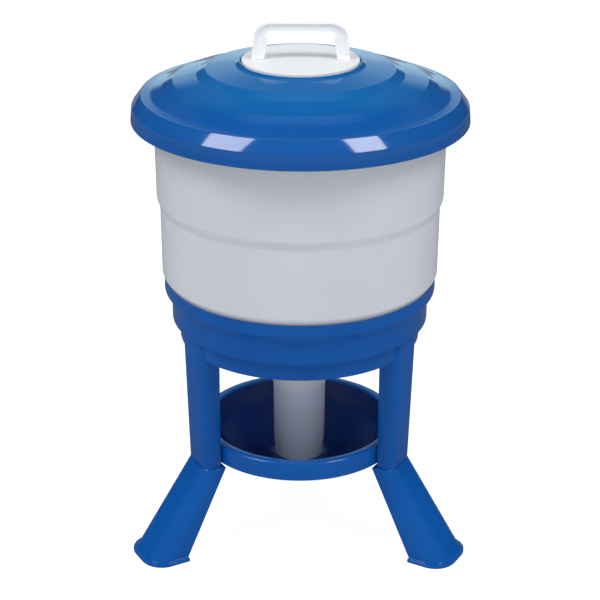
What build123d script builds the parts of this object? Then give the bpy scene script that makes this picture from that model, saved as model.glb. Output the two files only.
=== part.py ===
from build123d import *
import os

# Drinker for hens: a lidded tank on a three-legged stand, feeding a round dish through a tube.
# Millimetres, +Z up. The origin is on the tank's axis at floor level.
# The front faces -Y, between two of the legs. The third leg points to the back, +Y.

# Moulded walls and clearances
wall = 3.0
tube_wall = 2.6
face_clearance = 0.3
slip_clearance = 0.6

# Stand: ring, with heights taken from the floor
skirt_bottom_height = 289.0
skirt_depth = 25.5
skirt_radius = 162.5
band_height = 23.0
band_ledge = 10.2
flare_height = 18.5
flare_width = 9.5
lip_height = 17.5

# Stand: columns, each a channel open towards the axis
leg_count = 3
back_leg_angle = 90.0
column_width = 58.0
column_taper = 2.0
column_proud = 4.1
column_lean = 5.4
column_depth = 22.7
column_corner = 13.0

# Feet: splayed channels, plugged into the columns from below
knee_height = 124.0
sleeve_proud = 1.6
knee_plate_reach = 6.5
foot_splay = 86.3
foot_floor_depth = 52.5
foot_floor_width = 75.0
foot_corner = 19.0
foot_flange_height = 5.0
foot_flange_proud = 4.5
foot_flange_corner = 30.0
foot_rib_count = 2
foot_rib_thickness = 2.4
tongue_height = 34.0

# Dish, carried by its lugs inside the tongues of the feet
dish_clearance = 1.0
dish_rim_above_knee = 30.0
dish_skirt_depth = 25.5
dish_rim_width = 12.5
dish_wall_run = 16.0
dish_wall_depth = 19.0
dish_depth = 51.0
dish_foot_ring = 9.4
dish_boss_height = 6.0
dish_boss_clearance = 2.0
lug_end_clearance = 2.9
lug_side_clearance = 3.7
lug_below_rim = 6.0

# Tank
tank_seat_width = 10.0
tank_floor_drop = 9.0
tank_shoulder_proud = 2.4
tank_shoulder_rise = 7.0
tank_shoulder_gap = 1.0
tank_lower_height = 100.0
tank_lower_draft = 0.6
tank_step_rise = 14.5
tank_step_width = 4.2
tank_upper_height = 130.5
tank_upper_draft = 1.2
tank_rim_width = 15.4

# Spout under the tank and the tube that hangs from it to the dish
spout_radius = 36.6
spout_end_height = 212.0
tube_step = 0.6
tube_taper = 1.4
tube_plug_height = 48.0
notch_width = 22.0
notch_height = 20.0
tube_seal_width = 4.0
tube_seal_depth = 1.4
tube_seal_below_top = 22.0
tube_seal_clearance = 0.05

# Lid: widths and rises of its steps, from the skirt's lower edge to the crest
lid_overlap = 27.5
lid_overhang = 14.2
lid_skirt_draft = 1.7
lid_skirt_height = 19.4
lid_bevel_width = 11.4
lid_bevel_height = 15.4
lid_rim_width = 29.5
lid_rim_rise = 8.6
lid_outer_riser_width = 13.6
lid_outer_riser_rise = 7.0
lid_outer_tread_width = 30.0
lid_outer_tread_rise = 9.0
lid_inner_riser_width = 15.0
lid_inner_riser_rise = 6.4
lid_inner_tread_rise = 5.6
lid_top_riser_width = 11.0
lid_top_riser_rise = 3.8
lid_locating_rib_depth = 12.0
gasket_thickness = 4.0
gasket_margin = 1.5

# Filler cap with its handle
cap_radius = 76.0
cap_thickness = 4.2
cap_recess_depth = 2.9
cap_gap = 2.0
cap_skirt_depth = 14.0
cap_seal_thickness = 2.0
cap_seal_groove = 1.0
cap_seal_width = 7.0
cap_seal_inset = 3.0
neck_seat_width = 14.0
neck_depth = 18.0
handle_width = 128.0
handle_top_width = 115.0
handle_height = 47.0
handle_leg_width = 17.5
handle_leg_top_width = 15.5
handle_bar_height = 15.3
handle_depth = 12.6
handle_outer_corner = 19.0
handle_inner_corner = 6.0
handle_flange = 3.6
handle_recess = 3.4

# Stand: what follows from the sizes above
band_bottom_height = skirt_bottom_height + skirt_depth
band_radius = skirt_radius + band_ledge
flare_bottom_height = band_bottom_height + band_height
lip_bottom_height = flare_bottom_height + flare_height
lip_top_height = lip_bottom_height + lip_height
lip_radius = band_radius + flare_width
column_foot_width = column_width - column_taper
column_outer_radius = skirt_radius + column_proud
column_knee_radius = column_outer_radius - column_lean
column_inner_radius = column_knee_radius - column_depth
tongue_outer_radius = column_knee_radius - wall - face_clearance
tongue_width = column_foot_width - 2 * (wall + face_clearance)

# Feet
foot_inner_radius_top = column_inner_radius - knee_plate_reach
foot_outer_radius_floor = column_knee_radius + foot_splay
foot_inner_radius_floor = foot_outer_radius_floor - foot_floor_depth

# Tank
tank_seat_height = band_bottom_height + wall
tank_shoulder_radius = lip_radius + tank_shoulder_proud
tank_waist_radius = tank_shoulder_radius + tank_lower_draft
tank_waist_height = lip_top_height + tank_lower_height
tank_step_radius = tank_waist_radius + tank_step_width
tank_mouth_radius = tank_step_radius + tank_upper_draft
tank_step_height = tank_waist_height + tank_step_rise
tank_rim_height = tank_step_height + tank_upper_height
tank_rim_radius = tank_mouth_radius + tank_rim_width

# Tube and dish
tube_top_radius = spout_radius - tube_step
tube_end_radius = tube_top_radius - tube_taper
plug_radius = spout_radius - wall - face_clearance
plug_top_height = spout_end_height + tube_plug_height
tube_seal_height = plug_top_height - tube_seal_below_top - tube_seal_width
dish_radius = column_inner_radius - dish_clearance
dish_rim_height = knee_height + dish_rim_above_knee
dish_floor_height = dish_rim_height - dish_depth
dish_wall_foot_radius = dish_radius - dish_rim_width - dish_wall_run
dish_flat_radius = tube_end_radius + dish_foot_ring
lug_reach = tongue_outer_radius - wall - lug_end_clearance
lug_width = tongue_width - 2 * (wall + lug_side_clearance)
lug_height = dish_rim_above_knee - lug_below_rim

# Lid and cap
gasket_top_height = tank_rim_height + gasket_thickness
lid_bottom_height = tank_rim_height - lid_overlap
lid_radius = tank_rim_radius + lid_overhang
recess_radius = cap_radius + cap_gap
neck_radius = cap_radius - neck_seat_width
cap_seal_outer = cap_radius - cap_seal_inset
cap_seal_inner = cap_seal_outer - cap_seal_width
handle_opening_width = handle_width - 2 * handle_leg_width
handle_opening_top_width = handle_top_width - 2 * handle_leg_top_width

leg_angles = [back_leg_angle + i * 360.0 / leg_count for i in range(leg_count)]


def moulded_section(path):
    """A wall in the (radius, height) plane, to the left of a path of (radius, height) points."""
    points = [Vector(radius, height) for radius, height in path]
    steps = [(end - start).normalized() for start, end in zip(points, points[1:])]
    far_points = []
    for point, before, after in zip(points, [steps[0]] + steps, steps + [steps[-1]]):
        left_before = Vector(-before.Y, before.X)
        left_after = Vector(-after.Y, after.X)
        mitre = (left_before + left_after).normalized()
        far_points.append(point + mitre * (wall / mitre.dot(left_before)))
    return make_face(Polyline(*points, *far_points[::-1], close=True))


def polygon(*points):
    """A plain closed polygon in the (radius, height) plane."""
    return make_face(Polyline(*points, close=True))


def turned(section):
    """The solid that a section in the (radius, height) plane sweeps about the axis."""
    return revolve(Plane.XZ * section, axis=Axis.Z, revolution_arc=360)


def washer(inner_radius, outer_radius, bottom, height):
    """A flat ring about the axis."""
    return turned(polygon((inner_radius, bottom), (outer_radius, bottom),
                          (outer_radius, bottom + height), (inner_radius, bottom + height)))


def facing(block, direction):
    """The flat face of a block whose normal is nearest to a direction."""
    return block.faces().filter_by(GeomType.PLANE).sort_by(lambda f: f.normal_at().dot(Vector(direction)))[-1]


def leg_block(side_points, low_width, high_width, corner):
    """A tapered leg along +X from its (x, z) side view, with its two outer edges round."""
    low = min(z for _, z in side_points)
    high = max(z for _, z in side_points)
    reach = max(x for x, _ in side_points)
    side_view = extrude(Plane.XZ * polygon(*side_points), high_width + low_width, both=True)
    front_view = extrude(Plane.YZ * polygon(
        (-low_width / 2, low), (low_width / 2, low), (high_width / 2, high), (-high_width / 2, high)),
        2 * reach)
    block = side_view & front_view
    upright_edges = facing(block, (1, 0, 0)).edges().filter_by(Axis.Y, reverse=True)
    return fillet(upright_edges, corner)


def at_leg(shape, angle):
    """A shape drawn with its leg along +X, turned to the leg's own angle."""
    return Rot(0, 0, angle) * shape


def column():
    """One column of the stand, a channel open towards the axis, with its leg along +X."""
    block = leg_block([
        (column_inner_radius, knee_height), (column_knee_radius, knee_height),
        (column_outer_radius, band_bottom_height), (column_inner_radius, band_bottom_height)],
        column_foot_width, column_width, column_corner)
    open_sides = [facing(block, side) for side in ((-1, 0, 0), (0, 0, 1), (0, 0, -1))]
    return offset(block, -wall, openings=open_sides)


def stand():
    """The ring that carries the tank, with its three columns, moulded in one piece."""
    ring = turned(moulded_section([
        (skirt_radius, skirt_bottom_height),
        (skirt_radius, band_bottom_height),
        (band_radius, band_bottom_height),
        (band_radius, flare_bottom_height),
        (lip_radius, lip_bottom_height),
        (lip_radius, lip_top_height),
    ]))
    for angle in leg_angles:
        ring += at_leg(column(), angle)
    return ring


def foot():
    """One splayed foot, with its leg along +X: shell, floor flange, tongue, knee plate and ribs."""
    sleeve_width = column_foot_width + 2 * sleeve_proud + wall
    block = leg_block([
        (foot_inner_radius_top, knee_height), (column_knee_radius + sleeve_proud, knee_height),
        (foot_outer_radius_floor, 0), (foot_inner_radius_floor, 0)],
        foot_floor_width, sleeve_width, foot_corner)
    towards_axis = (-knee_height, 0, foot_inner_radius_top - foot_inner_radius_floor)
    shell = offset(block, -wall, openings=[facing(block, towards_axis), facing(block, (0, 0, -1))])

    flange_width = foot_floor_width + 2 * foot_flange_proud
    flange_length = foot_outer_radius_floor + foot_flange_proud - foot_inner_radius_floor
    flange = Pos(foot_inner_radius_floor, 0, 0) * Box(
        flange_length, flange_width, foot_flange_height, align=(Align.MIN, Align.CENTER, Align.MIN))
    flange = fillet(flange.edges().filter_by(Axis.Z).group_by(Axis.X)[-1], foot_flange_corner)

    ribs = []
    for i in range(foot_rib_count):
        rib_height = knee_height * (i + 1) / (foot_rib_count + 1)
        slab = Pos(0, 0, rib_height) * Box(
            2 * foot_outer_radius_floor, foot_floor_width, foot_rib_thickness)
        ribs.append(block & slab)

    tongue_start = column_inner_radius + wall
    tongue = Pos(tongue_start, 0, knee_height) * Box(
        tongue_outer_radius - tongue_start, tongue_width, tongue_height,
        align=(Align.MIN, Align.CENTER, Align.MIN))
    tongue = fillet(tongue.edges().filter_by(Axis.Z).group_by(Axis.X)[-1],
                    column_corner - wall - face_clearance)
    open_sides = [facing(tongue, side) for side in ((-1, 0, 0), (0, 0, 1), (0, 0, -1))]
    tongue = offset(tongue, -wall, openings=open_sides)
    return shell + (flange - block) + ribs + tongue


def dish():
    """The drinking dish: skirted rim, sloping bowl, a boss inside the tube and a lug at each leg."""
    bowl = turned(moulded_section([
        (dish_radius, dish_rim_height - dish_skirt_depth),
        (dish_radius, dish_rim_height),
        (dish_radius - dish_rim_width, dish_rim_height),
        (dish_wall_foot_radius, dish_rim_height - dish_wall_depth),
        (dish_flat_radius, dish_floor_height),
        (0, dish_floor_height),
    ]))
    boss_radius = tube_end_radius - tube_wall - dish_boss_clearance
    boss = Pos(0, 0, dish_floor_height) * Cylinder(
        boss_radius, dish_boss_height, align=(Align.CENTER, Align.CENTER, Align.MIN))

    lug_start = dish_radius - wall / 2
    lug_length = lug_reach - lug_start
    on_knee = Pos(lug_start, 0, knee_height)
    at_base = (Align.MIN, Align.CENTER, Align.MIN)
    lug = on_knee * Box(lug_length, lug_width, lug_height, align=at_base)
    lug -= on_knee * Box(lug_length - wall, lug_width - 2 * wall, lug_height - wall, align=at_base)
    bore = Pos(0, 0, knee_height) * Cylinder(
        lug_start, lug_height, align=(Align.CENTER, Align.CENTER, Align.MIN))
    lugs = [at_leg(lug, angle) - bore for angle in leg_angles]
    return bowl + boss + lugs


def tank():
    """The stepped tank: sloping floor with a spout, shoulder over the lip, step and rim."""
    seat_radius = band_radius - wall - slip_clearance
    collar_radius = lip_radius - wall - slip_clearance
    shoulder_height = lip_top_height + tank_shoulder_gap
    return turned(moulded_section([
        (spout_radius, spout_end_height),
        (spout_radius, tank_seat_height - tank_floor_drop),
        (seat_radius - tank_seat_width, tank_seat_height),
        (seat_radius, tank_seat_height),
        (seat_radius, flare_bottom_height),
        (collar_radius, lip_bottom_height + slip_clearance),
        (collar_radius, shoulder_height),
        (tank_shoulder_radius, shoulder_height + tank_shoulder_rise),
        (tank_waist_radius, tank_waist_height),
        (tank_step_radius, tank_step_height),
        (tank_mouth_radius, tank_rim_height - wall),
        (tank_rim_radius, tank_rim_height - wall),
    ]))


def outlet_tube():
    """The outlet tube: body standing in the dish, grooved plug inside the spout, two notches."""
    bore_radius = plug_radius - tube_wall
    body = turned(polygon(
        (tube_end_radius - tube_wall, dish_floor_height),
        (tube_end_radius, dish_floor_height),
        (tube_top_radius, spout_end_height),
        (plug_radius, spout_end_height),
        (plug_radius, tube_seal_height),
        (plug_radius - tube_seal_depth, tube_seal_height),
        (plug_radius - tube_seal_depth, tube_seal_height + tube_seal_width),
        (plug_radius, tube_seal_height + tube_seal_width),
        (plug_radius, plug_top_height),
        (bore_radius, plug_top_height),
        (bore_radius, spout_end_height)))
    arch_radius = notch_width / 2
    through_both_walls = 2 * tube_top_radius
    notch_side = Pos(0, 0, dish_floor_height) * Box(
        through_both_walls, notch_width, notch_height - arch_radius,
        align=(Align.CENTER, Align.CENTER, Align.MIN))
    notch_arch = Pos(0, 0, dish_floor_height + notch_height - arch_radius) * Rot(0, 90, 0) * Cylinder(
        arch_radius, through_both_walls)
    return body - notch_side - notch_arch


def tube_seal():
    """The rubber ring in the groove of the tube's plug."""
    return washer(plug_radius - tube_seal_depth, plug_radius + face_clearance - tube_seal_clearance,
                  tube_seal_height, tube_seal_width)


def lid_outline():
    """The lid's upper side from its skirt to its neck, as (radius, height) points."""
    outline = [(lid_radius, lid_bottom_height)]
    crest_radius = recess_radius + lid_top_riser_width
    steps = [
        (lid_skirt_draft, lid_skirt_height),
        (lid_bevel_width, lid_bevel_height),
        (lid_rim_width, lid_rim_rise),
        (lid_outer_riser_width, lid_outer_riser_rise),
        (lid_outer_tread_width, lid_outer_tread_rise),
        (lid_inner_riser_width, lid_inner_riser_rise),
    ]
    for width, rise in steps:
        radius, height = outline[-1]
        outline.append((radius - width, height + rise))
    outline.append((crest_radius, outline[-1][1] + lid_inner_tread_rise))
    crest_height = outline[-1][1] + lid_top_riser_rise
    seat_height = crest_height - cap_recess_depth
    return outline + [
        (recess_radius, crest_height),
        (recess_radius, seat_height),
        (neck_radius, seat_height),
        (neck_radius, seat_height - neck_depth),
    ]


cap_seat_height = lid_outline()[-2][1]


def lid():
    """The domed, stepped lid: one even wall, a land on the gasket, a locating rib and the neck."""
    outline = lid_outline()
    rim_radius, rim_height = outline[2]

    def inside_wall(radius):
        return rim_height - wall / 2 + (rim_radius - radius) * lid_rim_rise / lid_rim_width

    rib_outer = tank_mouth_radius - wall - slip_clearance
    rib_inner = rib_outer - wall
    rib_bottom = tank_rim_height - lid_locating_rib_depth
    land_and_rib = polygon(
        (rib_inner, rib_bottom), (rib_outer, rib_bottom),
        (rib_outer, gasket_top_height), (tank_rim_radius, gasket_top_height),
        (tank_rim_radius, inside_wall(tank_rim_radius)), (rib_inner, inside_wall(rib_inner)))
    return turned(moulded_section(outline) + land_and_rib)


def lid_gasket():
    """The flat rubber ring between the tank's rim and the lid."""
    return washer(tank_mouth_radius + gasket_margin, tank_rim_radius - gasket_margin,
                  tank_rim_height, gasket_thickness)


def handle_outline(bottom_width, top_width, height, corner):
    """A trapezium on the cap, narrower at the top, with its two upper corners round."""
    sketch = polygon((-bottom_width / 2, 0), (bottom_width / 2, 0),
                     (top_width / 2, height), (-top_width / 2, height))
    return fillet(sketch.vertices().filter_by(lambda v: v.Y > height / 2), corner)


def filler_cap():
    """The filler cap: disc, skirt in the neck, seal groove and a flanged carrying handle."""
    disc_bottom = cap_seat_height + cap_seal_thickness - cap_seal_groove
    disc_top = disc_bottom + cap_thickness
    groove_top = disc_bottom + cap_seal_groove
    skirt_outer = neck_radius - slip_clearance
    skirt_bottom = disc_bottom - cap_skirt_depth
    body = turned(polygon(
        (0, disc_top - wall), (skirt_outer - wall, disc_top - wall),
        (skirt_outer - wall, skirt_bottom), (skirt_outer, skirt_bottom),
        (skirt_outer, disc_bottom), (cap_seal_inner, disc_bottom),
        (cap_seal_inner, groove_top), (cap_seal_outer, groove_top),
        (cap_seal_outer, disc_bottom), (cap_radius, disc_bottom),
        (cap_radius, disc_top), (0, disc_top)))

    outer = handle_outline(handle_width, handle_top_width, handle_height, handle_outer_corner)
    inner = handle_outline(handle_opening_width, handle_opening_top_width,
                           handle_height - handle_bar_height, handle_inner_corner)
    web = offset(outer, -handle_flange) - offset(inner, handle_flange)
    upright = Plane(origin=(0, 0, disc_top), x_dir=(1, 0, 0), z_dir=(0, -1, 0))
    bail = extrude(upright * (outer - inner), handle_depth / 2, both=True)
    web_half = handle_depth / 2 - handle_recess
    for side in (-1, 1):
        recess = extrude(upright.offset(side * web_half) * web, side * handle_recess)
        bail -= recess
    return body + bail


def cap_seal():
    """The flat rubber ring under the filler cap."""
    return washer(cap_seal_inner, cap_seal_outer, cap_seat_height, cap_seal_thickness)


os.makedirs("parts", exist_ok=True)
pieces = {
    "stand": stand(),
    "dish": dish(),
    "tank": tank(),
    "outlet_tube": outlet_tube(),
    "tube_seal": tube_seal(),
    "lid": lid(),
    "lid_gasket": lid_gasket(),
    "filler_cap": filler_cap(),
    "cap_seal": cap_seal(),
}
foot_names = ("foot_back", "foot_left", "foot_right")
for name, angle in zip(foot_names, leg_angles):
    pieces[name] = at_leg(foot(), angle)
for name, piece in pieces.items():
    export_step(piece, f"parts/{name}.step")
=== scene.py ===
import math

import bpy
from mathutils import Matrix, Vector


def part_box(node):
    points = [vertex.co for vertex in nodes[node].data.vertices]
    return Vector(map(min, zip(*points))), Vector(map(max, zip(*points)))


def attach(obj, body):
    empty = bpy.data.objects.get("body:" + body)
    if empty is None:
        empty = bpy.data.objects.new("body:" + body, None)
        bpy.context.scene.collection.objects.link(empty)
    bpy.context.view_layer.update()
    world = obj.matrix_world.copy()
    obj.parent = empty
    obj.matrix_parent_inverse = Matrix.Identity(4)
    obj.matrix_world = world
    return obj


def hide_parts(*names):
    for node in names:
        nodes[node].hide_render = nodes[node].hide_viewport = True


# Looks for the hens' drinker. The moulded pieces are modelled again, round and smooth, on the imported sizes.
# Metres, +Z up, the origin on the tank's axis at floor level, the front towards -Y.

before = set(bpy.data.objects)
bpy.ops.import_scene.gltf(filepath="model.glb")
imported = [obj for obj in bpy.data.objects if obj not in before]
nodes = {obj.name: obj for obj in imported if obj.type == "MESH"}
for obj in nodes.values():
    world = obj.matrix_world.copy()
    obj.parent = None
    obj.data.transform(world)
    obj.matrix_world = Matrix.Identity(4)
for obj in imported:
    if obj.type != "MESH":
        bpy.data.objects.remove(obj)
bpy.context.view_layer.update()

MM = 0.001

# Roundness of the modelled pieces
RING_SIDES = 160
ROUND_STEPS = 5
CORNER_STEPS = 8
EDGE_STEPS = 3
ROUND_PROFILE = 0.5

# How close two points lie when they count as one
SAME_PLACE = 0.05 * MM

# Limits for how far a face's normal points along one axis
STEEP_BELOW = 0.8
FACING_UP_ABOVE = 0.05
SQUARE_ON_ABOVE = 0.9

# Walls, clearances and edges shared by the mouldings, with angles in degrees
wall = 3.0 * MM
face_clearance = 0.3 * MM
slip_clearance = 0.6 * MM
small_round = 1.2 * MM
edge_round = 0.9 * MM
sharp_edge_angle = 50
sharp_handle_angle = 40
kept_edge_angle = 32

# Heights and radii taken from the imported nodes
lid_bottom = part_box("lid")[0].z
lid_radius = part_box("lid")[1].x
tank_rim_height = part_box("tank")[1].z
tank_rim_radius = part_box("tank")[1].x
gasket_top_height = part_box("lid_gasket")[1].z
spout_end_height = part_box("tank")[0].z
knee_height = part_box("stand")[0].z
lip_top_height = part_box("stand")[1].z
cap_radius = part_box("filler_cap")[1].x
cap_skirt_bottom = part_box("filler_cap")[0].z
dish_rim_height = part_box("dish")[1].z

# Stand: ring and columns
skirt_radius = 162.5 * MM
skirt_bottom_height = 289.0 * MM
band_radius = 172.7 * MM
band_bottom_height = 314.5 * MM
band_round = 2.4 * MM
flare_bottom_height = 346.0 * MM
lip_radius = 182.2 * MM
lip_bottom_height = 357.5 * MM
lip_round = 2.2 * MM
leg_angles = [90.0, 210.0, 330.0]
column_width = 58.0 * MM
column_foot_width = 56.0 * MM
column_outer_radius = 166.6 * MM
column_knee_radius = 161.2 * MM
column_inner_radius = 138.5 * MM
column_corner = 13.0 * MM

# Feet
sleeve_proud = 1.6 * MM
foot_inner_radius_top = 132.0 * MM
foot_inner_radius_floor = 195.0 * MM
foot_outer_radius_floor = 247.5 * MM
foot_floor_width = 75.0 * MM
foot_corner_top = 19.0 * MM
foot_corner_floor = 27.7 * MM
foot_flange_height = 5.0 * MM
foot_flange_proud = 4.5 * MM
foot_rib_count = 2
foot_rib_thickness = 2.4 * MM
tongue_height = 34.0 * MM

# Dish
dish_radius = 137.5 * MM
dish_skirt_depth = 25.5 * MM
dish_rim_width = 12.5 * MM
dish_rim_round = 2.5 * MM
dish_wall_foot_radius = 109.0 * MM
dish_wall_depth = 19.0 * MM
dish_wall_foot_round = 6.0 * MM
dish_depth = 51.0 * MM
dish_flat_radius = 44.0 * MM
dish_flat_round = 8.0 * MM
dish_boss_radius = 30.0 * MM
dish_boss_height = 6.0 * MM
# How far inside the rim's inner edge the painted shade in the bowl begins
painted_shade_inset = 1.0 * MM
lug_reach = 152.0 * MM
lug_width = 36.0 * MM
lug_height = 24.0 * MM

# Tank
spout_radius = 36.6 * MM
spout_round = 4.0 * MM
tank_floor_drop = 9.0 * MM
tank_seat_width = 10.0 * MM
tank_seat_round = 2.0 * MM
tank_shoulder_radius = 184.6 * MM
tank_shoulder_rise = 7.0 * MM
tank_shoulder_gap = 1.0 * MM
tank_shoulder_round = 2.6 * MM
tank_waist_radius = 185.2 * MM
tank_waist_height = 476.5 * MM
tank_waist_round = 1.5 * MM
tank_step_rise = 11.5 * MM
tank_step_radius = 189.4 * MM
tank_step_round = 2.5 * MM
tank_mouth_radius = 190.6 * MM

# Lid: width, rise and rounding of each step, from the skirt to the crest
lid_steps = {
    "skirt": (1.7 * MM, 19.4 * MM, 0.8 * MM),
    "bevel": (11.4 * MM, 15.4 * MM, 0.8 * MM),
    "rim_edge": (2.5 * MM, 0.15 * MM, 0.5 * MM),
    "rim_outer": (10.5 * MM, 2.25 * MM, 3.0 * MM),
    "rim": (16.5 * MM, 6.2 * MM, 1.0 * MM),
    "outer_riser": (12.6 * MM, 7.4 * MM, 1.0 * MM),
    "outer_tread": (31.0 * MM, 8.6 * MM, 1.0 * MM),
    "inner_riser": (11.5 * MM, 6.8 * MM, 1.0 * MM),
    "inner_tread": (38.5 * MM, 5.2 * MM, 1.0 * MM),
}
lid_top_riser_rise = 3.8 * MM
cap_recess_depth = 2.9 * MM
cap_gap = 2.0 * MM
neck_radius = 62.0 * MM
neck_depth = 18.0 * MM
locating_rib_depth = 12.0 * MM

# Painted light on the lid's crown: a lighter blue that takes over between these heights over the lid's bottom
crown_start = 45.0 * MM
crown_end = 56.0 * MM

# Filler cap and its handle
cap_thickness = 4.2 * MM
cap_skirt_depth = 14.0 * MM
handle_width = 128.0 * MM
handle_top_width = 115.0 * MM
handle_height = 47.0 * MM
handle_opening_width = 93.0 * MM
handle_opening_top_width = 84.0 * MM
handle_bar_height = 15.3 * MM
handle_depth = 12.6 * MM
handle_outer_corner = 20.0 * MM
handle_inner_corner = 5.2 * MM
handle_flange = 3.6 * MM
handle_recess = 3.4 * MM

# Plastic: how its shade drifts over a piece and how fine its skin is
drift_scale = 9.0
drift_detail = 3.0
drift_dark_end = 0.3
drift_light_end = 0.7
skin_detail = 2.0
skin_height = 0.4 * MM
sheen_spread = 0.1

# Floor and surround of the studio, with 1 as white
floor_size = 24.0
floor_glow = 0.9
floor_shadow_share = 0.33
floor_bounce = 0.8
floor_mirrored_near = 0.15
floor_mirrored_far = 0.6
floor_near_reach = 2.6
floor_far_reach = 4.5
ambient = 0.52
room_front = 0.13
reflection_tint = (0.7, 1.0, 1.06)

# What the mouldings mirror: stops of (upward part of the line of sight, brightness)
room_back = [
    (0.0, 0.05), (0.42, 0.05), (0.54, 0.12), (0.62, 0.12),
    (0.7, 0.03), (0.85, 0.03), (0.93, 0.35), (1.0, 0.35),
]
backdrop = [
    (0.0, 1.0), (0.15, 1.0), (0.21, 0.75), (0.33, 0.72), (0.42, 0.5), (0.5, 0.3), (0.6, 0.15),
] + room_back[4:]
backdrop_half_width = 0.245
backdrop_soft_edge = 0.04

# Studio lights: name, place, aim, width, height, watts, and whether the mouldings mirror it
lid_centre = (0, 0, lid_bottom)
studio_lights = [
    ("left_softbox", (-1.80, -1.00, 2.80), lid_centre, 1.18, 1.2, 45, True),
    ("right_softbox", (1.60, -1.15, 2.85), lid_centre, 0.92, 1.2, 40, True),
    ("front_fill", (0.5, -3.4, 1.1), (0, 0, 0.4), 4.6, 1.6, 17, False),
]

# Camera, with its lens and sensor in millimetres and its angles in degrees
camera_place = (0, -2.076, 1.2254)
camera_lens = 99.66
camera_sensor = 36.0
camera_shift = 0.0005
camera_down = 23.29
camera_roll = 0.25
camera_near = 0.1
camera_far = 60.0


def leave_edit():
    """Back from edit mode, with the changes in the mesh."""
    bpy.ops.object.mode_set(mode="OBJECT")


def deselect_all():
    """Leaves edit mode and clears the selection."""
    if bpy.context.object and bpy.context.object.mode != "OBJECT":
        leave_edit()
    bpy.ops.object.select_all(action="DESELECT")


def make_active(piece):
    """The one selected and active object is the piece."""
    deselect_all()
    piece.select_set(True)
    bpy.context.view_layer.objects.active = piece


def edit_all():
    """The active piece in edit mode, with all of it selected."""
    bpy.ops.object.mode_set(mode="EDIT")
    bpy.ops.mesh.select_all(action="SELECT")


def edit_unselected(kind):
    """The active piece in edit mode for vertices, edges or faces, with none of it selected."""
    bpy.ops.object.mode_set(mode="EDIT")
    bpy.ops.mesh.select_mode(type=kind)
    bpy.ops.mesh.select_all(action="DESELECT")


def select_edges(piece, wanted):
    """In edge mode, the selected edges are those whose two ends both pass the test."""
    make_active(piece)
    edit_unselected("EDGE")
    leave_edit()
    vertices = piece.data.vertices
    for edge in piece.data.edges:
        edge.select = all(wanted(vertices[i].co) for i in edge.vertices)
    bpy.ops.object.mode_set(mode="EDIT")


def select_faces(piece, wanted):
    """In face mode, the selected faces are those that pass the test."""
    make_active(piece)
    edit_unselected("FACE")
    leave_edit()
    for face in piece.data.polygons:
        face.select = wanted(face)
    bpy.ops.object.mode_set(mode="EDIT")


def anywhere(_):
    """A test that every point and face passes."""
    return True


def close_to(a, b):
    """Whether two lengths are the same, but for rounding."""
    return abs(a - b) < SAME_PLACE


def on_ring(radius, height):
    """A test for points on the circle of that radius and height."""
    return lambda co: close_to(co.z, height) and close_to(math.hypot(co.x, co.y), radius)


def looks_out(face):
    """Whether a face points away from the drinker's axis."""
    return face.normal.x * face.center.x + face.normal.y * face.center.y > 0


def face_outwards(piece):
    """Every face of the piece points out, as its outermost steep face shows."""
    make_active(piece)
    edit_all()
    bpy.ops.mesh.normals_make_consistent(inside=False)
    leave_edit()
    steep = [face for face in piece.data.polygons if abs(face.normal.z) < STEEP_BELOW]
    outermost = max(steep, key=lambda face: math.hypot(face.center.x, face.center.y))
    if not looks_out(outermost):
        edit_all()
        bpy.ops.mesh.flip_normals()
        leave_edit()


def give_wall(piece, thickness):
    """The shell grows a wall of even thickness on its inner side."""
    face_outwards(piece)
    solid = piece.modifiers.new("wall", "SOLIDIFY")
    solid.thickness = thickness
    solid.offset = -1
    solid.use_even_offset = True
    bpy.ops.object.modifier_apply(modifier=solid.name)
    face_outwards(piece)


def round_edges(piece, width, sharp_angle):
    """Every edge of the piece that is sharper than the angle becomes round."""
    make_active(piece)
    edges = piece.modifiers.new("edges", "BEVEL")
    edges.width = width
    edges.segments = EDGE_STEPS
    edges.limit_method = "ANGLE"
    edges.angle_limit = math.radians(sharp_angle)
    bpy.ops.object.modifier_apply(modifier=edges.name)


def shade(piece):
    """Smooth shading that keeps the sharper edges."""
    make_active(piece)
    bpy.ops.object.shade_smooth_by_angle(angle=math.radians(kept_edge_angle))


def keep_placing():
    """The selected piece's place, turn and size go into its mesh."""
    bpy.ops.object.transform_apply(location=True, rotation=True, scale=True)


def extrude_by(offset):
    """The selected faces or edges are drawn out by the offset."""
    bpy.ops.mesh.extrude_region_move(TRANSFORM_OT_translate={"value": offset})


def round_ring(piece, radius, height, rounding):
    """The ring edge of that radius and height becomes round, and the piece stays in edit mode."""
    select_edges(piece, on_ring(radius, height))
    bpy.ops.mesh.bevel(offset=rounding, segments=ROUND_STEPS, profile=ROUND_PROFILE, affect="EDGES")


def ring_shell(name, path):
    """A round shell, drawn out of a circle ring by ring along a path of (radius, height, rounding)."""
    deselect_all()
    radius, height, _ = path[0]
    bpy.ops.mesh.primitive_circle_add(vertices=RING_SIDES, radius=radius, location=(0, 0, height))
    piece = bpy.context.object
    piece.name = name
    keep_placing()
    bpy.ops.object.mode_set(mode="EDIT")
    for next_radius, next_height, _ in path[1:]:
        extrude_by((0, 0, next_height - height))
        widening = next_radius / radius
        bpy.ops.transform.resize(value=(widening, widening, 1), center_override=(0, 0, next_height))
        radius, height = next_radius, next_height
    for radius, height, rounding in path[1:-1]:
        if rounding:
            round_ring(piece, radius, height, rounding)
    leave_edit()
    return piece


def close_ring(piece, radius, height):
    """A flat face fills the ring of that radius and height."""
    select_edges(piece, on_ring(radius, height))
    bpy.ops.mesh.edge_face_add()
    leave_edit()


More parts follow.
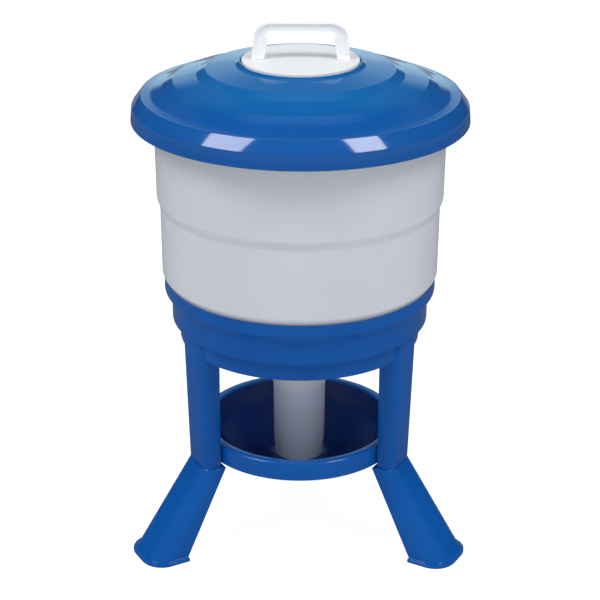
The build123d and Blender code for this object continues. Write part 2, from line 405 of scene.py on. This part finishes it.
def drawn_line(name, points, corners):
    """A line through points, with the corners named by their place in the list made round."""
    deselect_all()
    bpy.ops.mesh.primitive_plane_add(size=MM)
    piece = bpy.context.object
    piece.name = name
    bpy.ops.object.mode_set(mode="EDIT")
    bpy.ops.mesh.select_mode(type="VERT")
    bpy.ops.mesh.select_all(action="SELECT")
    bpy.ops.mesh.merge(type="CENTER")
    bpy.ops.transform.translate(value=points[0])
    for start, end in zip(points, points[1:]):
        bpy.ops.mesh.extrude_vertices_move(TRANSFORM_OT_translate={"value": end - start})
    for place, corner in corners.items():
        bpy.ops.mesh.select_all(action="DESELECT")
        leave_edit()
        for vertex in piece.data.vertices:
            vertex.select = (vertex.co - points[place]).length < SAME_PLACE
        bpy.ops.object.mode_set(mode="EDIT")
        bpy.ops.mesh.bevel(offset=corner, segments=CORNER_STEPS, profile=ROUND_PROFILE, affect="VERTICES")
    leave_edit()
    return piece


def channel_line(name, height, inner, outer, width, corner):
    """A leg's outline at a height, open on its inner side, with its leg along +X."""
    half = width / 2
    points = [Vector(p) for p in (
        (inner, -half, height), (outer, -half, height), (outer, half, height), (inner, half, height))]
    return drawn_line(name, points, {1: corner, 2: corner})


def joined(name, parts):
    """The parts as one object."""
    make_active(parts[0])
    for part in parts[1:]:
        part.select_set(True)
    bpy.ops.object.join()
    piece = bpy.context.object
    piece.name = name
    return piece


def bridged(name, first, second):
    """A surface between two lines."""
    piece = joined(name, [first, second])
    select_edges(piece, anywhere)
    bpy.ops.mesh.bridge_edge_loops()
    leave_edit()
    return piece


def turned_to(piece, angle):
    """The piece turned about the drinker's axis, with the turn in its mesh."""
    make_active(piece)
    piece.rotation_euler.z = math.radians(angle)
    keep_placing()
    return piece


def copied(piece, name):
    """A copy of the piece with a mesh of its own."""
    make_active(piece)
    bpy.ops.object.duplicate()
    copy = bpy.context.object
    copy.name = name
    return copy


def model_lid():
    """The stepped dome with its cap recess and neck, and its land and locating rib on the gasket."""
    path = [(lid_radius, lid_bottom, 0)]
    for width, rise, rounding in lid_steps.values():
        radius, height, _ = path[-1]
        path.append((radius - width, height + rise, rounding))
    rim_edge_height, rim_outer_height = path[3][1], path[4][1]
    crest_height = path[-1][1] + lid_top_riser_rise
    seat_height = crest_height - cap_recess_depth
    path += [
        (cap_radius + cap_gap, crest_height, small_round),
        (cap_radius + cap_gap, seat_height, 0),
        (neck_radius, seat_height, 0),
        (neck_radius, seat_height - neck_depth, 0),
    ]
    shell = ring_shell("lid_shell", path)
    give_wall(shell, wall)
    round_ring(shell, lid_radius, lid_bottom, small_round)

    # The land and the rib end inside the lid's wall
    land_top = rim_edge_height - wall / 2
    rib_top = rim_outer_height + wall / 2
    rib_outer = tank_mouth_radius - wall - slip_clearance
    rib_inner = rib_outer - wall
    rib_bottom = tank_rim_height - locating_rib_depth
    rib = ring_shell("land_and_rib", [
        (tank_rim_radius, land_top, 0),
        (tank_rim_radius, gasket_top_height, 0),
        (rib_outer, gasket_top_height, 0),
        (rib_outer, rib_bottom, 0),
        (rib_inner, rib_bottom, 0),
        (rib_inner, rib_top, 0),
    ])
    at_land, at_rib = on_ring(tank_rim_radius, land_top), on_ring(rib_inner, rib_top)
    select_edges(rib, lambda co: at_land(co) or at_rib(co))
    bpy.ops.mesh.bridge_edge_loops()
    face_outwards(rib)
    lid = joined("lid_moulding", [shell, rib])
    shade(lid)
    return lid


def model_tank():
    """The stepped tank with its sloping floor and spout."""
    seat_height = band_bottom_height + wall
    seat_radius = band_radius - wall - slip_clearance
    collar_radius = lip_radius - wall - slip_clearance
    shoulder_height = lip_top_height + tank_shoulder_gap
    tank = ring_shell("tank_moulding", [
        (spout_radius, spout_end_height, 0),
        (spout_radius, seat_height - tank_floor_drop, spout_round),
        (seat_radius - tank_seat_width, seat_height, 0),
        (seat_radius, seat_height, tank_seat_round),
        (seat_radius, flare_bottom_height, tank_seat_round),
        (collar_radius, lip_bottom_height + slip_clearance, tank_seat_round),
        (collar_radius, shoulder_height, small_round),
        (tank_shoulder_radius, shoulder_height + tank_shoulder_rise, tank_shoulder_round),
        (tank_waist_radius, tank_waist_height, tank_waist_round),
        (tank_step_radius, tank_waist_height + tank_step_rise, tank_step_round),
        (tank_mouth_radius, tank_rim_height - wall, small_round),
        (tank_rim_radius, tank_rim_height - wall, 0),
    ])
    give_wall(tank, wall)
    shade(tank)
    return tank


def model_column():
    """One hollow column of the stand, open towards the axis, with its leg along +X."""
    foot = channel_line("column_foot", knee_height, column_inner_radius, column_knee_radius,
                        column_foot_width, column_corner)
    head = channel_line("column_head", band_bottom_height, column_inner_radius, column_outer_radius,
                        column_width, column_corner)
    column = bridged("column", foot, head)
    give_wall(column, wall)
    return column


def model_stand():
    """The ring that carries the tank, with its columns."""
    ring = ring_shell("stand_ring", [
        (skirt_radius, skirt_bottom_height, 0),
        (skirt_radius, band_bottom_height, small_round),
        (band_radius, band_bottom_height, band_round),
        (band_radius, flare_bottom_height, lip_round),
        (lip_radius, lip_bottom_height, lip_round),
        (lip_radius, lip_top_height, 0),
    ])
    give_wall(ring, wall)
    column = model_column()
    columns = [turned_to(copied(column, "column_copy"), angle) for angle in leg_angles]
    deselect_all()
    bpy.data.objects.remove(column)
    stand = joined("stand_moulding", [ring] + columns)
    round_edges(stand, edge_round, sharp_edge_angle)
    shade(stand)
    return stand


def between(first, last, share):
    """The length that lies that share of the way from the first to the last."""
    return first + (last - first) * share


def foot_ribs(sleeve_width):
    """Flat ribs across the hollow of a foot, with its leg along +X."""
    ribs = []
    for i in range(foot_rib_count):
        height = knee_height * (i + 1) / (foot_rib_count + 1)
        down = 1 - height / knee_height
        rib = channel_line(
            "foot_rib", height, between(foot_inner_radius_top, foot_inner_radius_floor, down),
            between(column_knee_radius + sleeve_proud, foot_outer_radius_floor, down) - wall / 2,
            between(sleeve_width, foot_floor_width, down) - wall,
            between(foot_corner_top, foot_corner_floor, down) - wall / 2)
        select_edges(rib, anywhere)
        bpy.ops.mesh.edge_face_add()
        bpy.ops.mesh.select_all(action="SELECT")
        extrude_by((0, 0, foot_rib_thickness))
        face_outwards(rib)
        ribs.append(rib)
    return ribs


def foot_shell(sleeve_width):
    """The outer wall of a foot with its knee plate and floor flange, with its leg along +X."""
    top = channel_line("foot_top", knee_height, foot_inner_radius_top, column_knee_radius + sleeve_proud,
                       sleeve_width, foot_corner_top)
    floor = channel_line("foot_floor", foot_flange_height, foot_inner_radius_floor,
                         foot_outer_radius_floor, foot_floor_width, foot_corner_floor)
    shell = bridged("foot", top, floor)

    select_edges(shell, lambda co: close_to(co.z, foot_flange_height))
    bpy.ops.mesh.extrude_region_move()
    floor_depth = foot_outer_radius_floor - foot_inner_radius_floor
    bpy.ops.transform.resize(
        value=(1 + foot_flange_proud / floor_depth, 1 + 2 * foot_flange_proud / foot_floor_width, 1),
        center_override=(foot_inner_radius_floor, 0, foot_flange_height))
    extrude_by((0, 0, -foot_flange_height))

    select_edges(shell, lambda co: close_to(co.z, knee_height))
    bpy.ops.mesh.edge_face_add()
    leave_edit()
    give_wall(shell, wall)
    return shell


def foot_tongue():
    """The tongue that plugs a foot into its column, with its leg along +X."""
    low = channel_line("tongue_low", knee_height, column_inner_radius + wall,
                       column_knee_radius - wall - face_clearance,
                       column_foot_width - 2 * (wall + face_clearance),
                       column_corner - wall - face_clearance)
    high = copied(low, "tongue_high")
    high.location.z = tongue_height
    keep_placing()
    tongue = bridged("tongue", low, high)
    give_wall(tongue, wall)
    return tongue


def model_foot():
    """One splayed foot with its leg along +X: shell, tongue and ribs."""
    sleeve_width = column_foot_width + 2 * sleeve_proud + wall
    shell = foot_shell(sleeve_width)
    tongue = foot_tongue()
    foot = joined("foot", [shell, tongue] + foot_ribs(sleeve_width))
    round_edges(foot, edge_round, sharp_edge_angle)
    shade(foot)
    return foot


def dish_lug(angle):
    """A rounded block under the dish's rim, which carries the dish on a foot."""
    deselect_all()
    start = dish_radius - wall / 2
    bpy.ops.mesh.primitive_cube_add(size=1, location=(
        (start + lug_reach) / 2, 0, knee_height + lug_height / 2))
    lug = bpy.context.object
    lug.scale = (lug_reach - start, lug_width, lug_height)
    keep_placing()
    edit_all()
    bpy.ops.mesh.bevel(offset=small_round, segments=EDGE_STEPS, affect="EDGES")
    leave_edit()
    return turned_to(lug, angle)


def model_dish(outside, inside):
    """The drinking dish: skirted rim, smooth bowl, boss and lugs, in the outside blue, with painted shade in
    a darker blue on the upward faces inside the rim.
    """
    floor_height = dish_rim_height - dish_depth
    boss_height = floor_height + dish_boss_height
    inside_radius = dish_radius - dish_rim_width
    bowl = ring_shell("dish_bowl", [
        (dish_radius, dish_rim_height - dish_skirt_depth, 0),
        (dish_radius, dish_rim_height, dish_rim_round),
        (inside_radius, dish_rim_height, dish_rim_round),
        (dish_wall_foot_radius, dish_rim_height - dish_wall_depth, dish_wall_foot_round),
        (dish_flat_radius, floor_height, dish_flat_round),
        (dish_boss_radius, floor_height, 0),
        (dish_boss_radius, boss_height, 0),
    ])
    close_ring(bowl, dish_boss_radius, boss_height)
    give_wall(bowl, wall)
    bowl.data.materials.append(outside)
    bowl.data.materials.append(inside)
    # Painted shade: the upward faces inside the rim take the darker blue, where the tank above shadows the
    # bowl
    for face in bowl.data.polygons:
        reach = math.hypot(face.center.x, face.center.y)
        if face.normal.z > FACING_UP_ABOVE and reach < inside_radius - painted_shade_inset:
            face.material_index = len(bowl.data.materials) - 1
    dish = joined("dish_moulding", [bowl] + [dish_lug(angle) for angle in leg_angles])
    shade(dish)
    return dish


def handle_line(name, bottom_width, top_width, height, corner, base):
    """An arch of the handle, upright over the cap, with its upper corners round."""
    points = [Vector(p) for p in (
        (-bottom_width / 2, 0, base), (-top_width / 2, 0, base + height),
        (top_width / 2, 0, base + height), (bottom_width / 2, 0, base))]
    return drawn_line(name, points, {1: corner, 2: corner})


def cap_handle(base):
    """The carrying handle over the cap, with a flange round its recessed faces."""
    outer = handle_line("handle_outer", handle_width, handle_top_width, handle_height,
                        handle_outer_corner, base)
    inner = handle_line("handle_inner", handle_opening_width, handle_opening_top_width,
                        handle_height - handle_bar_height, handle_inner_corner, base)
    handle = bridged("handle", outer, inner)
    select_faces(handle, anywhere)
    bpy.ops.transform.translate(value=(0, -handle_depth / 2, 0))
    extrude_by((0, handle_depth, 0))
    face_outwards(handle)
    for side in (-1, 1):
        select_faces(handle, lambda face: face.normal.y * side > SQUARE_ON_ABOVE
                     and close_to(face.center.y, side * handle_depth / 2))
        bpy.ops.mesh.inset(thickness=handle_flange, depth=-handle_recess, use_boundary=True)
        leave_edit()
    round_edges(handle, small_round, sharp_handle_angle)
    return handle


def model_cap(disc_material, handle_material):
    """The filler cap: disc and skirt, with the flanged handle on top, the disc in a darker white of painted
    shade than the handle of the same moulding.
    """
    disc_bottom = cap_skirt_bottom + cap_skirt_depth
    disc_top = disc_bottom + cap_thickness
    skirt_outer = neck_radius - slip_clearance
    skirt_inner = skirt_outer - wall
    under = disc_top - wall
    disc = ring_shell("cap_disc", [
        (skirt_inner, under, 0),
        (skirt_inner, cap_skirt_bottom, 0),
        (skirt_outer, cap_skirt_bottom, 0),
        (skirt_outer, disc_bottom, 0),
        (cap_radius, disc_bottom, 0),
        (cap_radius, disc_top, small_round),
        (cap_radius / 2, disc_top, 0),
    ])
    close_ring(disc, skirt_inner, under)
    close_ring(disc, cap_radius / 2, disc_top)
    face_outwards(disc)
    handle = cap_handle(disc_top)
    # The disc wears the darker white of painted shade, the handle the plain white
    disc.data.materials.append(disc_material)
    handle.data.materials.append(handle_material)
    cap = joined("filler_cap_moulding", [disc, handle])
    shade(cap)
    return cap


def dressed(piece, node, material):
    """The piece stands for the node, rides with it and wears the material, unless it has its own."""
    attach(piece, "root")
    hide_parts(node)
    if not piece.data.materials:
        piece.data.materials.append(material)


def linear(red, green, blue):
    """A colour as the shader takes it, from the 0 to 255 values seen on a screen."""
    def channel(value):
        share = value / 255
        return share / 12.92 if share <= 0.04045 else ((share + 0.055) / 1.055) ** 2.4
    return (channel(red), channel(green), channel(blue), 1)


def add_node(tree, kind, inputs, operation=None):
    """A new node, whose inputs take a plain value or what another node gives out."""
    node = tree.nodes.new(kind)
    if operation:
        node.operation = operation
    for place, value in inputs.items():
        if isinstance(value, bpy.types.NodeSocket):
            tree.links.new(value, node.inputs[place])
        else:
            node.inputs[place].default_value = value
    return node


def mixed(tree, factor, first, second):
    """A colour between the first and the second, by the factor."""
    mix = tree.nodes.new("ShaderNodeMix")
    mix.data_type = "RGBA"
    # A Mix node has its colours at inputs 6 and 7, and the mixed colour at output 2
    tree.links.new(factor, mix.inputs[0])
    for socket, value in ((mix.inputs[6], first), (mix.inputs[7], second)):
        if isinstance(value, bpy.types.NodeSocket):
            tree.links.new(value, socket)
        else:
            socket.default_value = value
    return mix.outputs[2]


def ramp(tree, source, stops):
    """A value looked up between stops of (place, colour)."""
    looked_up = add_node(tree, "ShaderNodeValToRGB", {"Fac": source})
    elements = looked_up.color_ramp.elements
    for place, _ in stops[1:-1]:
        elements.new(place)
    for element, (place, colour) in zip(elements, stops):
        element.position = place
        element.color = colour
    return looked_up.outputs["Color"]


def plastic(name, light, dark, roughness, speck_size, bump, specular=0.5, crown_painted_light=None):
    """Moulded plastic: two near shades drifting over the piece, and a faint ripple in its skin.
    A crown's painted light, where it is given, takes over upwards, as light falls on a thin dome."""
    material = bpy.data.materials.new(name)
    material.use_nodes = True
    tree = material.node_tree
    place = tree.nodes.new("ShaderNodeTexCoord").outputs["Object"]
    drift = add_node(tree, "ShaderNodeTexNoise", {
        "Vector": place, "Scale": drift_scale, "Detail": drift_detail})
    tone = ramp(tree, drift.outputs["Fac"], [(drift_dark_end, dark), (drift_light_end, light)])
    # Painted light: the colour turns lighter up the lid's crown, where the top light falls
    if crown_painted_light:
        level = add_node(tree, "ShaderNodeSeparateXYZ", {"Vector": place})
        rise = add_node(tree, "ShaderNodeMapRange", {
            "Value": level.outputs["Z"],
            "From Min": lid_bottom + crown_start, "From Max": lid_bottom + crown_end})
        tone = mixed(tree, rise.outputs["Result"], tone, crown_painted_light)
    skin = add_node(tree, "ShaderNodeTexNoise", {
        "Vector": place, "Scale": 1 / speck_size, "Detail": skin_detail})
    relief = add_node(tree, "ShaderNodeBump", {
        "Height": skin.outputs["Fac"], "Strength": bump, "Distance": skin_height})
    sheen = add_node(tree, "ShaderNodeMapRange", {
        "Value": skin.outputs["Fac"],
        "To Min": roughness * (1 - sheen_spread), "To Max": roughness * (1 + sheen_spread)})
    shader = tree.nodes["Principled BSDF"]
    tree.links.new(tone, shader.inputs["Base Color"])
    tree.links.new(relief.outputs["Normal"], shader.inputs["Normal"])
    tree.links.new(sheen.outputs["Result"], shader.inputs["Roughness"])
    shader.inputs["Specular IOR Level"].default_value = specular
    return material


def grey(level):
    """A neutral colour of that brightness."""
    return (level, level, level, 1)


def studio_floor():
    """A pale floor that reaches past the view: white to the eye, soft light below, dark in reflections."""
    deselect_all()
    bpy.ops.mesh.primitive_plane_add(size=floor_size)
    floor = bpy.context.object
    floor.name = "studio_floor"
    material = bpy.data.materials.new("pale_floor")
    material.use_nodes = True
    tree = material.node_tree
    tree.nodes.remove(tree.nodes["Principled BSDF"])

    def matt(colour):
        return add_node(tree, "ShaderNodeBsdfDiffuse", {"Color": colour}).outputs["BSDF"]

    def either(factor, first, second):
        mix = add_node(tree, "ShaderNodeMixShader", {"Fac": factor, 1: first, 2: second})
        return mix.outputs["Shader"]

    glow = add_node(tree, "ShaderNodeEmission", {"Color": grey(floor_glow)})
    seen = add_node(tree, "ShaderNodeAddShader", {
        0: matt(grey(floor_shadow_share)), 1: glow.outputs["Emission"]})
    place = tree.nodes.new("ShaderNodeTexCoord").outputs["Object"]
    distance = add_node(tree, "ShaderNodeVectorMath", {0: place}, "LENGTH")
    fading = add_node(tree, "ShaderNodeMapRange", {
        "Value": distance.outputs["Value"],
        "From Min": floor_near_reach, "From Max": floor_far_reach,
        "To Min": floor_mirrored_near, "To Max": floor_mirrored_far})
    ray = tree.nodes.new("ShaderNodeLightPath")
    unseen = either(ray.outputs["Is Glossy Ray"], matt(grey(floor_bounce)), matt(fading.outputs["Result"]))
    surface = either(ray.outputs["Is Camera Ray"], unseen, seen.outputs["Shader"])
    tree.links.new(surface, tree.nodes["Material Output"].inputs["Surface"])
    floor.data.materials.append(material)


def studio_world():
    """White to the eye, soft all round for the light, and a banded studio in the reflections."""
    world = bpy.data.worlds.new("studio")
    bpy.context.scene.world = world
    world.use_nodes = True
    tree = world.node_tree

    def worked_out(operation, first, second):
        return add_node(tree, "ShaderNodeMath", {0: first, 1: second}, operation).outputs["Value"]

    def tinted(stops):
        return [(place, [level * share for share in reflection_tint] + [1]) for place, level in stops]

    sight = tree.nodes.new("ShaderNodeTexCoord").outputs["Generated"]
    axes = add_node(tree, "ShaderNodeSeparateXYZ", {"Vector": sight}).outputs
    spread = add_node(tree, "ShaderNodeMath", {0: axes["X"]}, "ABSOLUTE").outputs["Value"]
    edge = add_node(tree, "ShaderNodeMapRange", {
        "Value": worked_out("DIVIDE", spread, axes["Y"]),
        "From Min": backdrop_half_width, "From Max": backdrop_half_width + backdrop_soft_edge,
        "To Min": 1.0, "To Max": 0.0})
    back = mixed(tree, edge.outputs["Result"],
                 ramp(tree, axes["Z"], tinted(room_back)), ramp(tree, axes["Z"], tinted(backdrop)))
    ahead = worked_out("GREATER_THAN", axes["Y"], 0.0)
    reflected = mixed(tree, ahead, grey(room_front), back)
    ray = tree.nodes.new("ShaderNodeLightPath")
    lighting = mixed(tree, ray.outputs["Is Glossy Ray"], grey(ambient), reflected)
    to_eye = worked_out("MAXIMUM", ray.outputs["Is Camera Ray"], ray.outputs["Is Transmission Ray"])
    tree.links.new(mixed(tree, to_eye, lighting, grey(1.0)), tree.nodes["Background"].inputs["Color"])


def studio_light(name, place, aim, width, height, watts, mirrored):
    """A rectangular studio light at a place, turned to its aim."""
    data = bpy.data.lights.new(name, "AREA")
    data.shape = "RECTANGLE"
    data.size = width
    data.size_y = height
    data.energy = watts
    light = bpy.data.objects.new(name, data)
    bpy.context.scene.collection.objects.link(light)
    light.location = place
    light.rotation_euler = (Vector(aim) - Vector(place)).to_track_quat("-Z", "Y").to_euler()
    light.visible_glossy = mirrored


def camera():
    """The camera at the photograph's viewing angle."""
    data = bpy.data.cameras.new("camera")
    data.sensor_width = camera_sensor
    data.lens = camera_lens
    data.shift_x = camera_shift
    data.clip_start = camera_near
    data.clip_end = camera_far
    eye = bpy.data.objects.new("camera", data)
    bpy.context.scene.collection.objects.link(eye)
    tilt = Matrix.Rotation(math.radians(90 - camera_down), 4, "X")
    roll = Matrix.Rotation(math.radians(camera_roll), 4, "Z")
    eye.matrix_world = Matrix.Translation(camera_place) @ tilt @ roll
    bpy.context.scene.camera = eye


blue = plastic(
    "blue_polypropylene", linear(7, 82, 160), linear(5, 77, 154),
    roughness=0.1, speck_size=6 * MM, bump=0.03)
# The lid's blue, with painted light on its crown
lid_blue = plastic(
    "blue_lid", linear(16, 82, 153), linear(14, 77, 148),
    roughness=0.08, speck_size=6 * MM, bump=0.03, crown_painted_light=linear(17, 92, 158))
# Painted shade for inside the dish: a darker copy of the same blue, standing in for the shadow of the tank
# and lid above
dish_painted_shade_blue = plastic(
    "blue_dish_painted_shade", linear(19, 44, 104), linear(15, 37, 95),
    roughness=0.22, speck_size=6 * MM, bump=0.03)
tank_grey = plastic(
    "tank_polyethylene", linear(197, 202, 211), linear(193, 198, 207),
    roughness=0.34, speck_size=4 * MM, bump=0.06, specular=0.25)
# The tube's grey plastic with a blue tint: painted reflection of the blue dish and legs around it
tube_grey_painted_blue_reflection = plastic(
    "tube_polypropylene_painted_reflection", linear(184, 195, 213), linear(179, 190, 208),
    roughness=0.3, speck_size=4 * MM, bump=0.06)
# Disc and handle are one white moulding; the disc's darker white is painted shade against the strong top
# light
cap_disc_painted_shade_white = plastic(
    "cap_disc_polypropylene_painted_shade", linear(219, 220, 223), linear(214, 215, 219),
    roughness=0.3, speck_size=4 * MM, bump=0.05, specular=0.1)
handle_white = plastic(
    "cap_handle_polypropylene", linear(238, 239, 243), linear(234, 235, 240),
    roughness=0.3, speck_size=4 * MM, bump=0.05, specular=0.2)
rubber = plastic(
    "seal_rubber", linear(38, 38, 40), linear(30, 30, 32),
    roughness=0.6, speck_size=2 * MM, bump=0.15)

dressed(model_lid(), "lid", lid_blue)
dressed(model_tank(), "tank", tank_grey)
dressed(model_stand(), "stand", blue)
dressed(model_dish(blue, dish_painted_shade_blue), "dish", blue)
dressed(model_cap(cap_disc_painted_shade_white, handle_white), "filler_cap", cap_disc_painted_shade_white)
first_foot = model_foot()
for name, angle in zip(("foot_back", "foot_left", "foot_right"), leg_angles):
    foot = turned_to(copied(first_foot, name + "_moulding"), angle)
    dressed(foot, name, blue)
deselect_all()
bpy.data.objects.remove(first_foot)

for name, material in (("outlet_tube", tube_grey_painted_blue_reflection), ("tube_seal", rubber),
                       ("lid_gasket", rubber), ("cap_seal", rubber)):
    nodes[name].data.materials.clear()
    nodes[name].data.materials.append(material)

studio_floor()
studio_world()
for light in studio_lights:
    studio_light(*light)
camera()
bpy.context.scene.view_settings.view_transform = "Standard"
